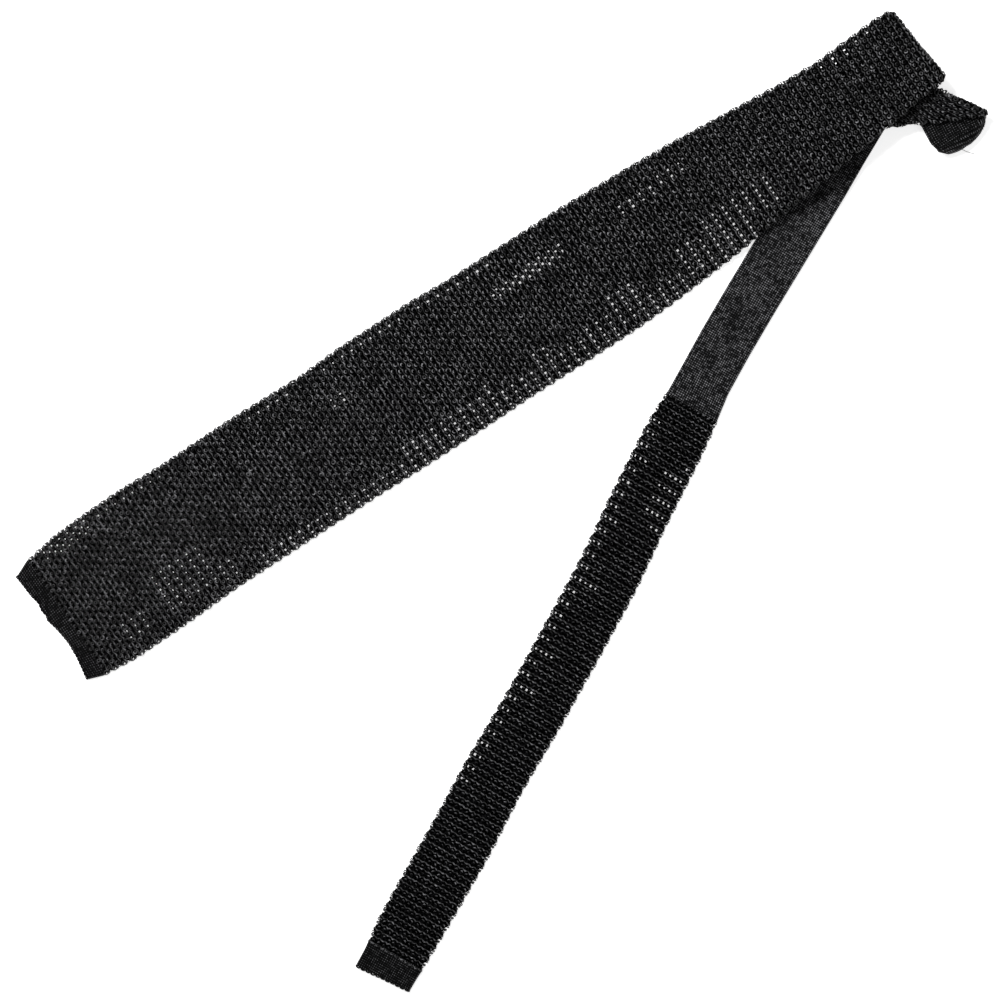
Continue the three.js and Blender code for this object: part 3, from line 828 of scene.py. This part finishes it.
def knit_web(row, path, courses, across, along, holes, draw):
    """The backs of the stitches: a thin skin in the wall, all round the tube, with the holes left in it"""
    around = 2 * row.wales
    stitch, strip = np.meshgrid(np.arange(around), np.arange(courses * row.skin + 1) / row.skin)
    points = np.column_stack(((stitch + 0.5 * strip - EDGE_PHASE).ravel(), (strip - 0.5).ravel())).tolist()
    pierced, opposite = {}, set()
    for course, place in zip(*holes):
        pierced[course, round(place - 0.5 - 0.5 * course) % around] = place
        mirrored = round(around - place - 2 * EDGE_PHASE - 0.5 * course)
        opposite |= {(course, mirrored % around), (course, (mirrored - 1) % around)}
    faces = []
    for course in range(courses * row.skin):
        for stitch in range(around):
            if (course, stitch) in opposite:
                continue
            after = (stitch + 1) % around
            outer = [course * around + stitch, course * around + after,
                     (course + 1) * around + after, (course + 1) * around + stitch]
            if (course, stitch) not in pierced:
                faces.append(outer)
                continue
            place = pierced[course, stitch] + draw.uniform(-0.03, 0.03)
            base = len(points)
            grown = draw.uniform(*HOLE_GROWTH, 2)
            wide, high = row.hole / 2 / across * grown[0], row.hole / 2 / along * grown[1]
            points += [(place - wide, course - high), (place + wide, course - high),
                       (place + wide, course + high), (place - wide, course + high)]
            faces += [[outer[side], outer[side - 3], base + (side + 1) % 4, base + side] for side in range(4)]
    flat = np.array(points)
    place_along, place_around = cell_to_tie(flat[:, 0], flat[:, 1], row, courses, path)
    near, bumps = at_edges(flat[:, 0], flat[:, 1] / row.skin, row)
    depth = WEB_DEPTH / row.skin * (1 - near) + bumps
    mesh = bpy.data.meshes.new(row.name)
    mesh.from_pydata(path.lay(place_along, place_around, depth, path.size.open_wall).tolist(), [], faces)
    web = bpy.data.objects.new(row.name, mesh)
    bpy.context.scene.collection.objects.link(web)
    return web


def at_edges(place, course, row):
    """How near points are to one of the two edges, and how far the knit stands out there"""
    edge = (place + EDGE_PHASE) / row.wales
    near = np.exp(-(np.abs(edge - np.round(edge)) * row.wales / EDGE_REACH) ** 2)
    swell = EDGE_SWELL * np.clip(0.5 + 0.6 * np.cos(math.pi * course), 0, 1)
    return near, (EDGE_LIFT + swell) * near


def vary_waves(waves, row, courses, across, along, draw):
    """Makes the wavy yarns uneven"""
    points = vertices_of(waves)
    step = np.round(points[:, 0] / across * WAVE_STEPS).astype(int) % (2 * row.wales * WAVE_STEPS)
    course = np.clip(np.floor(points[:, 1] / along).astype(int), 0, courses - 1)
    noise = draw.normal(0, 1, (2, courses, 2 * row.wales * WAVE_STEPS))
    points[:, 1] += np.clip(noise[0, course, step], -2, 2) * WAVE_JITTER
    points[:, 2] += np.clip(noise[1, course, step], -2, 2) * WAVE_JITTER
    turn = 2 * math.pi * points[:, 0] / across + math.pi * (course % 2)
    points[:, 2] += WAVE_DIP * np.cos(turn)
    put_vertices(waves, points)


def knit_openwork(row, path, yarn, silk, shaded, openings):
    """Knits one length of openwork: a web of stitch backs, wavy yarns all round it and knobs between them"""
    draw = np.random.default_rng(int(row.start * 10000))
    size = path.size
    courses = 2 * round((courses_at(row.end) - courses_at(row.start)) / 2)
    girth = float(path.girth(np.linspace(row.start, row.end, 20), size.open_wall).mean())
    across = girth / (2 * row.wales)
    along = (row.end - row.start) / courses
    holes = light_holes(row, path, courses, openings)
    facing = {(course, 2 * row.wales - place - 2 * EDGE_PHASE) for course, place in zip(*holes)}
    parts = []
    for shown, (rounds, sides) in ((True, (9, 4)), (False, (6, 3))):
        first = 0 if shown == (row.face > 0) else row.wales
        knobs = knob_cell(row, rounds, sides, across, along)
        repeat(knobs, row.wales, (across, 0, 0))
        repeat(knobs, courses // 2, (0, 2 * along, 0))
        course, place = knob_places(row, courses, first)
        aside = [not shown and key in facing for key in zip(course, place)]
        vary_knobs(knobs, first * across + np.where(aside, across / 2, 0), draw)
        parts.append(knobs)
    waves = wave_cell(yarn.wave_yarn, yarn.wave_height, WAVE_STEPS, 4, across, along)
    repeat(waves, 2 * row.wales, (across, 0, 0), merge=True)
    repeat(waves, courses // 2, (0, 2 * along, 0))
    vary_waves(waves, row, courses, across, along, draw)
    stitches = join(row.name.replace("openwork", "stitches"), [*parts, waves])
    points = vertices_of(stitches)
    # The yarn's height, which the silk turns into painted shade low in the knit and a painted highlight on the
    # crests
    height = stitches.data.attributes.new("height", "FLOAT", "POINT")
    height.data.foreach_set("value", np.clip(0.5 + points[:, 2] / CREST / 2, 0, 1).astype(np.float32))
    place, course = points[:, 0] / across, points[:, 1] / along
    place_along, place_around = cell_to_tie(place, course, row, courses, path)
    near, bumps = at_edges(place, course, row)
    off = points[:, 2] * (1 - EDGE_FLATTEN * near) + bumps
    laid = path.lay(place_along, place_around, off, size.open_wall)
    laid[:, 2] = np.maximum(laid[:, 2], 0)
    put_vertices(stitches, laid)
    finish_piece(stitches, silk)
    web = knit_web(row, path, courses, across, along, holes, draw)
    finish_piece(web, shaded)
    thicken(web, WEB_THICKNESS, 0)
    return web, stitches, (girth, row.end - row.start)


def thicken(piece, thickness, offset):
    """Gives a surface a thickness and closes its ends"""
    select_only(piece)
    solid = piece.modifiers.new("Wall", "SOLIDIFY")
    solid.thickness = thickness
    solid.offset = offset
    bpy.ops.object.modifier_apply(modifier=solid.name)


def finish_piece(piece, material):
    """Closes a wrapped mesh's seam, smooths it and gives it its material"""
    select_only(piece)
    bpy.ops.object.mode_set(mode="EDIT")
    bpy.ops.mesh.select_all(action="SELECT")
    bpy.ops.mesh.remove_doubles(threshold=0.000002)
    bpy.ops.mesh.normals_make_consistent(inside=False)
    bpy.ops.object.mode_set(mode="OBJECT")
    bpy.ops.object.shade_smooth()
    piece.data.materials.clear()
    piece.data.materials.append(material)


def close_tube(name, start, end, start_edge, end_edge, path, wall, stitches, material, step, lit):
    """A tube of close knit between two distances along the tie, with a wall and two open ends"""
    rounds = 80
    rows = max(4, round((end - start) / step))
    deselect_all()
    bpy.ops.mesh.primitive_grid_add(x_subdivisions=rounds, y_subdivisions=rows, size=1.0)
    piece = bpy.context.object
    piece.name = name
    piece.data.name = name
    points = vertices_of(piece)
    around = points[:, 0] + 0.5
    share = points[:, 1] + 0.5
    edge_share = 0.07
    guess = start + share * (end - start)
    closing = around > 0.999999
    around_on = np.where(closing, 0.0, around)
    off = np.full(len(points), wall / 2)
    across, _, run = path.section(guess, around_on, off, wall, edge_share)
    run = np.where(closing, 1.0, run)
    first = start + start_edge(across)
    last = end + end_edge(across)
    along = first + share * (last - first)
    put_vertices(piece, path.lay(along, around_on, off, wall, edge_share))
    loops = np.empty(len(piece.data.loops), np.int32)
    piece.data.loops.foreach_get("vertex_index", loops)
    uv = np.column_stack((run * stitches, along / CLOSE_COURSE))[loops]
    layer = piece.data.uv_layers.active or piece.data.uv_layers.new(name="UVMap")
    layer.data.foreach_set("uv", np.ascontiguousarray(uv, np.float32).ravel())
    # How much painted light each row keeps, from lit: less in the lobe, as painted shade, and in the hems
    height = piece.data.attributes.new("height", "FLOAT", "POINT")
    height.data.foreach_set("value", lit(along).astype(np.float32))
    finish_piece(piece, material)
    thicken(piece, wall, -1)
    girth = float(path.girth(np.linspace(start, end, 20), wall).mean())
    return piece, (girth, max(end - start, SHORTEST_SHEET)), girth * (end - start)


def tip_inset(path):
    """How far the blade's end is drawn in, at a place across it"""
    across, inset = columns(TIP_ROWS)
    half = BLADE_ROWS[0].wide * path.size.blade_width / 2
    return lambda place: np.interp(place / half, across, inset)


def tail_slant(place):
    """How much further the tail's end reaches, at a place across it"""
    return place * TAIL_END_SLANT


def no_slant(place):
    return place * 0


def painted_light_on_hems(along):
    """Share of the neck band's painted light that a hem keeps: the hem is painted darker"""
    return along * 0 + LOBE_AND_HEM_LIGHT_SHARE


def cast_off(name, path, at, edge, wall, loops, radius, yarn, material):
    """A chain of small loops round an open end of the tube"""
    deselect_all()
    bpy.ops.mesh.primitive_torus_add(
        major_segments=12, minor_segments=6, major_radius=radius - yarn / 2, minor_radius=yarn / 2
    )
    chain = bpy.context.object
    girth = float(path.girth(np.array([at]), wall)[0])
    pitch = girth / loops
    bpy.ops.object.mode_set(mode="EDIT")
    bpy.ops.mesh.select_all(action="SELECT")
    bpy.ops.transform.resize(value=(LOOP_WIDTH * pitch / radius, 1.0, 1.0), center_override=(0, 0, 0))
    bpy.ops.transform.rotate(value=math.radians(LOOP_LEAN), orient_axis="Y", center_override=(0, 0, 0))
    bpy.ops.object.mode_set(mode="OBJECT")
    repeat(chain, loops, (pitch, 0, 0))
    points = vertices_of(chain)
    draw = np.random.default_rng(loops)
    grouped = points.reshape(loops, -1, 3)
    grouped[:, :, 1] += draw.normal(0, radius * 0.1, (loops, 1))
    grouped[:, :, 2] *= draw.uniform(0.8, 1.1, (loops, 1))
    points = grouped.reshape(-1, 3)
    around = (points[:, 0] / girth + 0.5 / loops) % 1.0
    base = np.full(len(points), at)
    across, _, _ = path.section(base, around, np.zeros(len(points)), wall, 0.0)
    along = base + edge(across) + points[:, 1]
    put_vertices(chain, path.lay(along, around, points[:, 2], wall))
    chain.name = name
    chain.data.name = name
    finish_piece(chain, material)
    return chain


def thread(name, route, radius, material):
    """A bare end of yarn along a few chosen points"""
    curve = bpy.data.curves.new(name, "CURVE")
    curve.dimensions = "3D"
    curve.bevel_depth = radius
    curve.bevel_resolution = 2
    curve.use_fill_caps = True
    line = curve.splines.new("NURBS")
    line.points.add(len(route) - 1)
    for point, place in zip(line.points, route):
        point.co = (*place, 1.0)
    line.use_endpoint_u = True
    line.order_u = 4
    piece = bpy.data.objects.new(name, curve)
    bpy.context.scene.collection.objects.link(piece)
    select_only(piece)
    bpy.ops.object.convert(target="MESH")
    piece = bpy.context.object
    finish_piece(piece, material)
    return piece


def node_maths(group):
    """Makes a function that adds a maths node to a node group and returns its output"""
    def add(operation, *values):
        node = group.nodes.new("ShaderNodeMath")
        node.operation = operation
        for socket, value in zip(node.inputs, values):
            if isinstance(value, (int, float)):
                socket.default_value = value
            else:
                group.links.new(value, socket)
        return node.outputs[0]
    return add


def ramp(group, value, low, high):
    """0 below low, 1 above high and a soft step between them"""
    node = group.nodes.new("ShaderNodeMapRange")
    node.interpolation_type = "SMOOTHSTEP"
    node.inputs["From Min"].default_value = low
    node.inputs["From Max"].default_value = high
    group.links.new(value, node.inputs["Value"])
    return node.outputs["Result"]


def blend(group, amount, first, second):
    """A mix of two colours"""
    node = group.nodes.new("ShaderNodeMix")
    node.data_type = "RGBA"
    for socket, source in zip((node.inputs[0], node.inputs[6], node.inputs[7]), (amount, first, second)):
        group.links.new(source, socket)
    return node.outputs[2]


def shade_group(yarn):
    """Node group: colour and roughness of dyed silk, with painted glints on random stitches and painted shade in
    its depths
    """
    group = bpy.data.node_groups.new("Silk shade", "ShaderNodeTree")
    sockets = group.interface
    sockets.new_socket(name="Vector", in_out="INPUT", socket_type="NodeSocketVector")
    for label, value in (("Patch size", 45.0), ("Glint amount", 0.5), ("Height", 1.0)):
        socket = sockets.new_socket(name=label, in_out="INPUT", socket_type="NodeSocketFloat")
        socket.default_value = value
    tints = (("Dyed", yarn.yarn_colour), ("Glinting", yarn.glint_colour), ("Depth shade", yarn.painted_shade_colour))
    for label, value in tints:
        socket = sockets.new_socket(name=label, in_out="INPUT", socket_type="NodeSocketColor")
        socket.default_value = tuple(value)
    sockets.new_socket(name="Colour", in_out="OUTPUT", socket_type="NodeSocketColor")
    sockets.new_socket(name="Roughness", in_out="OUTPUT", socket_type="NodeSocketFloat")
    nodes, links = group.nodes, group.links
    maths = node_maths(group)
    inside = nodes.new("NodeGroupInput")
    outside = nodes.new("NodeGroupOutput")
    patches = nodes.new("ShaderNodeTexNoise")
    patches.inputs["Detail"].default_value = 2.0
    stitches = nodes.new("ShaderNodeTexNoise")
    stitches.inputs["Scale"].default_value = 560.0
    stitches.inputs["Detail"].default_value = 1.0
    links.new(inside.outputs["Vector"], patches.inputs["Vector"])
    links.new(inside.outputs["Patch size"], patches.inputs["Scale"])
    links.new(inside.outputs["Vector"], stitches.inputs["Vector"])
    # Painted glints: in random patches and stitches the silk is blended towards the bright glint colour
    both = maths("ADD", maths("MULTIPLY", patches.outputs["Fac"], 0.22),
                 maths("MULTIPLY", stitches.outputs["Fac"], 0.78))
    glint_share = maths("MULTIPLY", ramp(group, both, 0.36, 0.68), inside.outputs["Glint amount"])
    silk = blend(group, glint_share, inside.outputs["Dyed"], inside.outputs["Glinting"])
    # Painted shade: the lower the surface, the nearer its colour comes to the near-black depth colour
    colour = blend(group, ramp(group, inside.outputs["Height"], 0.5, 0.96), inside.outputs["Depth shade"], silk)
    rough = maths("ADD", 0.38, maths("MULTIPLY", stitches.outputs["Fac"], 0.2))
    links.new(colour, outside.inputs["Colour"])
    links.new(rough, outside.inputs["Roughness"])
    return group


def stitch_group():
    """Node group: height of rows of small V-shaped stitches, on a map that counts stitches"""
    group = bpy.data.node_groups.new("Close stitches", "ShaderNodeTree")
    sockets = group.interface
    sockets.new_socket(name="Map", in_out="INPUT", socket_type="NodeSocketVector")
    slant = sockets.new_socket(name="Slant", in_out="INPUT", socket_type="NodeSocketFloat")
    slant.default_value = 0.7
    sockets.new_socket(name="Height", in_out="OUTPUT", socket_type="NodeSocketFloat")
    maths = node_maths(group)
    inside = group.nodes.new("NodeGroupInput")
    outside = group.nodes.new("NodeGroupOutput")
    apart = group.nodes.new("ShaderNodeSeparateXYZ")
    group.links.new(inside.outputs["Map"], apart.inputs[0])
    from_middle = maths("ABSOLUTE", maths("SUBTRACT", maths("FRACT", apart.outputs[0]), 0.5))
    wale = maths("SUBTRACT", 1.0, maths("POWER", maths("MULTIPLY", from_middle, 2.0), 2.2))
    leaning = maths("MULTIPLY", from_middle, inside.outputs["Slant"])
    course = maths("FRACT", maths("ADD", apart.outputs[1], leaning))
    bump = maths("SINE", maths("MULTIPLY", course, math.pi))
    height = maths("MULTIPLY", wale, bump)
    group.links.new(height, outside.inputs["Height"])
    return group


def silk_material(name, shade, glint_share, patch, specular):
    """Black silk, with painted glints in patches"""
    material = bpy.data.materials.new(name)
    material.use_nodes = True
    nodes, links = material.node_tree.nodes, material.node_tree.links
    shader = nodes["Principled BSDF"]
    shader.inputs["Specular IOR Level"].default_value = specular
    place = nodes.new("ShaderNodeTexCoord")
    colour = nodes.new("ShaderNodeGroup")
    colour.node_tree = shade
    colour.inputs["Glint amount"].default_value = glint_share
    colour.inputs["Patch size"].default_value = patch
    links.new(place.outputs["Object"], colour.inputs["Vector"])
    links.new(colour.outputs["Colour"], shader.inputs["Base Color"])
    links.new(colour.outputs["Roughness"], shader.inputs["Roughness"])
    return material, place, colour


def add_bump(material, height, strength, distance):
    """Links a height to the shader's normal"""
    tree = material.node_tree
    bump = tree.nodes.new("ShaderNodeBump")
    bump.inputs["Strength"].default_value = strength
    bump.inputs["Distance"].default_value = distance
    tree.links.new(height, bump.inputs["Height"])
    tree.links.new(bump.outputs["Normal"], tree.nodes["Principled BSDF"].inputs["Normal"])


def yarn_material(shade):
    """Twisted yarn: fine strands that catch the light, with painted shade the deeper they lie and a painted
    highlight on the crests
    """
    material, place, colour = silk_material("Openwork silk", shade, 0.85, 55.0, 0.35)
    nodes, links = material.node_tree.nodes, material.node_tree.links
    height = nodes.new("ShaderNodeAttribute")
    height.attribute_name = "height"
    links.new(height.outputs["Fac"], colour.inputs["Height"])
    fibres = nodes.new("ShaderNodeTexNoise")
    fibres.inputs["Scale"].default_value = 2600.0
    fibres.inputs["Detail"].default_value = 2.0
    links.new(place.outputs["Object"], fibres.inputs["Vector"])
    add_bump(material, fibres.outputs["Fac"], 0.3, 0.00012)


def shaded_material(yarn):
    """The backs of the stitches, painted far darker than the dyed silk as the shade deep in the knit"""
    material = bpy.data.materials.new("Shaded silk")
    material.use_nodes = True
    tree = material.node_tree
    shader = tree.nodes["Principled BSDF"]
    shader.inputs["Roughness"].default_value = 0.8
    shader.inputs["Specular IOR Level"].default_value = 0.0
    place = tree.nodes.new("ShaderNodeTexCoord")
    strands = tree.nodes.new("ShaderNodeTexNoise")
    strands.inputs["Scale"].default_value = 900.0
    strands.inputs["Detail"].default_value = 1.0
    tree.links.new(place.outputs["Object"], strands.inputs["Vector"])
    tints = []
    # Painted shade: even the web's lightest strands are far darker than the dyed silk
    for share in (DARKEST_WEB, LIGHTEST_WEB):
        colour = tree.nodes.new("ShaderNodeRGB")
        colour.outputs[0].default_value = (*(np.array(yarn.yarn_colour)[:3] * share).tolist(), 1.0)
        tints.append(colour.outputs[0])
    shown = blend(tree, ramp(tree, strands.outputs["Fac"], 0.45, 0.65), *tints)
    tree.links.new(shown, shader.inputs["Base Color"])


def close_material(shade, stitches):
    """Close knit: rows of small stitches in the same silk, with painted shade between them"""
    material, place, colour = silk_material("Close-knit silk", shade, 0.8, 70.0, 0.1)
    nodes, links = material.node_tree.nodes, material.node_tree.links
    rows = nodes.new("ShaderNodeGroup")
    rows.node_tree = stitches
    links.new(place.outputs["UV"], rows.inputs["Map"])
    # Share of the painted light that the tube keeps: lower in the lobe, as painted shade, and in the hems
    stand = nodes.new("ShaderNodeAttribute")
    stand.attribute_name = "height"
    maths = node_maths(material.node_tree)
    # Painted shade: the stitch pattern's height sets how far the colour goes towards the depth colour; the same
    # pattern bumps the normal
    raised = maths("MULTIPLY", maths("ADD", rows.outputs["Height"], 0.1), stand.outputs["Fac"])
    links.new(raised, colour.inputs["Height"])
    add_bump(material, rows.outputs["Height"], 1.0, 0.0005)


def table_material(colour):
    """Matte pale table top that glows a little, as a light table does"""
    material = bpy.data.materials.new("Pale table")
    material.use_nodes = True
    shader = material.node_tree.nodes["Principled BSDF"]
    shader.inputs["Base Color"].default_value = tuple(colour)
    shader.inputs["Roughness"].default_value = 0.9
    shader.inputs["Emission Color"].default_value = (1, 1, 1, 1)
    shader.inputs["Emission Strength"].default_value = 0.7
    return material


def materials(yarn):
    """The silks of the openwork, the painted shade of its depths and the close knit, made once"""
    if "Openwork silk" not in bpy.data.materials:
        shade = shade_group(yarn)
        yarn_material(shade)
        shaded_material(yarn)
        close_material(shade, stitch_group())
    return [bpy.data.materials[name] for name in ("Openwork silk", "Shaded silk", "Close-knit silk")]


def declare(piece, node):
    """Attaches a piece of cloth to what it moves with and hides the part of the model that it stands for"""
    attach(piece, "root")
    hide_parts(node)


class TIE_OT_openwork(bpy.types.Operator):
    """Knit the openwork of the blade, the folded stretch and the tail"""

    bl_idname = "knit_tie.openwork"
    bl_label = "Knit the openwork"

    def execute(self, context):
        yarn = context.scene.knit_tie_yarn
        path = TiePath(context.scene.knit_tie_sizes)
        silk, shaded, _ = materials(yarn)
        for row in knit_rows(path):
            openings = BLADE_OPENINGS if row.face > 0 else TAIL_OPENINGS
            web, stitches, flat = knit_openwork(row, path, yarn, silk, shaded, openings)
            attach(stitches, "root")
            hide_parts(row.replaces)
            declare(web, row.replaces)
        return {"FINISHED"}


class TIE_OT_close_knit(bpy.types.Operator):
    """Knit the neck band and the two hems"""

    bl_idname = "knit_tie.close_knit"
    bl_label = "Knit the neck band and hems"

    def execute(self, context):
        yarn = context.scene.knit_tie_yarn
        size = context.scene.knit_tie_sizes
        path = TiePath(size)
        silk = materials(yarn)[2]
        start = path.stretches[2].at + STRIP_END - SEAM_OVERLAP
        end = path.tail_at + SEAM_OVERLAP
        neck, flat, area = close_tube("neck_close_knit", start, end, path.strip_fan, no_slant, path,
                                      size.close_wall, 48, silk, NECK_STEP, path.painted_light_on_neck)
        declare(neck, "neck_band")
        stray = thread("loose_thread", LOOSE_THREAD, LOOSE_THREAD_RADIUS, silk)
        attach(stray, "root")
        inset = tip_inset(path)
        end = size.front_hem + SEAM_OVERLAP
        hem, flat, area = close_tube("blade_hem", 0.0, end, inset, no_slant, path, size.close_wall, 108, silk,
                                     HEM_STEP, painted_light_on_hems)
        chain = cast_off("blade_cast_off", path, 0.0, inset, size.close_wall, 62, 0.00065, 0.0005, silk)
        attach(chain, "root")
        declare(hem, "front_hem")
        start = path.tail_hem_at - SEAM_OVERLAP
        end = path.tail_hem_at + size.tail_hem
        hem, flat, area = close_tube("tail_end_hem", start, end, no_slant, tail_slant, path, size.close_wall, 54,
                                     silk, HEM_STEP, painted_light_on_hems)
        chain = cast_off("tail_cast_off", path, end, tail_slant, size.close_wall, 22, 0.0009, 0.0007, silk)
        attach(chain, "root")
        declare(hem, "tail_hem")
        return {"FINISHED"}


class TIE_OT_stage(bpy.types.Operator):
    """Make the table, the lights and the camera"""

    bl_idname = "knit_tie.stage"
    bl_label = "Set the stage"

    def execute(self, context):
        stage = context.scene.knit_tie_stage
        deselect_all()
        bpy.ops.mesh.primitive_plane_add(size=12, location=(0, 0, -0.0001))
        table = context.object
        table.name = "table"
        bpy.ops.object.transform_apply(location=True, rotation=False, scale=False)
        table.data.materials.append(table_material(stage.table_colour))
        world = bpy.data.worlds.new("Studio")
        world.use_nodes = True
        world.node_tree.nodes["Background"].inputs["Color"].default_value = (1.0, 1.0, 1.0, 1.0)
        world.node_tree.nodes["Background"].inputs["Strength"].default_value = 0.22
        context.scene.world = world
        for name, place, power, width in (("Key light", (-1.0, 1.3, 2.2), 84.0, 0.8),
                                          ("Fill light", (1.5, -0.8, 2.6), 10.0, 1.8)):
            light = bpy.data.lights.new(name, "AREA")
            light.energy = power
            light.size = width
            lamp = bpy.data.objects.new(name, light)
            lamp.location = place
            aim = np.array(place)
            lamp.rotation_euler = (math.atan2(math.hypot(aim[0], aim[1]), aim[2]), 0,
                                   math.atan2(aim[1], aim[0]) + math.pi / 2)
            context.scene.collection.objects.link(lamp)
        camera = bpy.data.cameras.new("Camera")
        camera.sensor_width = 36
        camera.lens = camera.sensor_width * stage.camera_height / stage.view_width
        camera.clip_end = 50
        eye = bpy.data.objects.new("Camera", camera)
        eye.location = (-0.00104, 0.00152, stage.camera_height)
        context.scene.collection.objects.link(eye)
        context.scene.camera = eye
        context.scene.view_settings.view_transform = "Standard"
        return {"FINISHED"}


class TIE_PT_panel(bpy.types.Panel):
    """Lists the steps that make the tie"""

    bl_idname = "TIE_PT_panel"
    bl_label = "Knit Tie"
    bl_space_type = "VIEW_3D"
    bl_region_type = "UI"
    bl_category = "Knit Tie"

    def draw(self, context):
        for operator in OPERATORS:
            self.layout.operator(operator.bl_idname)


OPERATORS = (TIE_OT_openwork, TIE_OT_close_knit, TIE_OT_stage)
GROUPS = (TieSizes, YarnSettings, StageSettings)


def register():
    for group in GROUPS + OPERATORS + (TIE_PT_panel,):
        bpy.utils.register_class(group)
    bpy.types.Scene.knit_tie_sizes = bpy.props.PointerProperty(type=TieSizes)
    bpy.types.Scene.knit_tie_yarn = bpy.props.PointerProperty(type=YarnSettings)
    bpy.types.Scene.knit_tie_stage = bpy.props.PointerProperty(type=StageSettings)


def unregister():
    del bpy.types.Scene.knit_tie_stage
    del bpy.types.Scene.knit_tie_yarn
    del bpy.types.Scene.knit_tie_sizes
    for group in reversed(GROUPS + OPERATORS + (TIE_PT_panel,)):
        bpy.utils.unregister_class(group)


def main():
    deselect_all()
    register()
    bpy.ops.knit_tie.openwork()
    bpy.ops.knit_tie.close_knit()
    bpy.ops.knit_tie.stage()


if __name__ == "__main__":
    main()
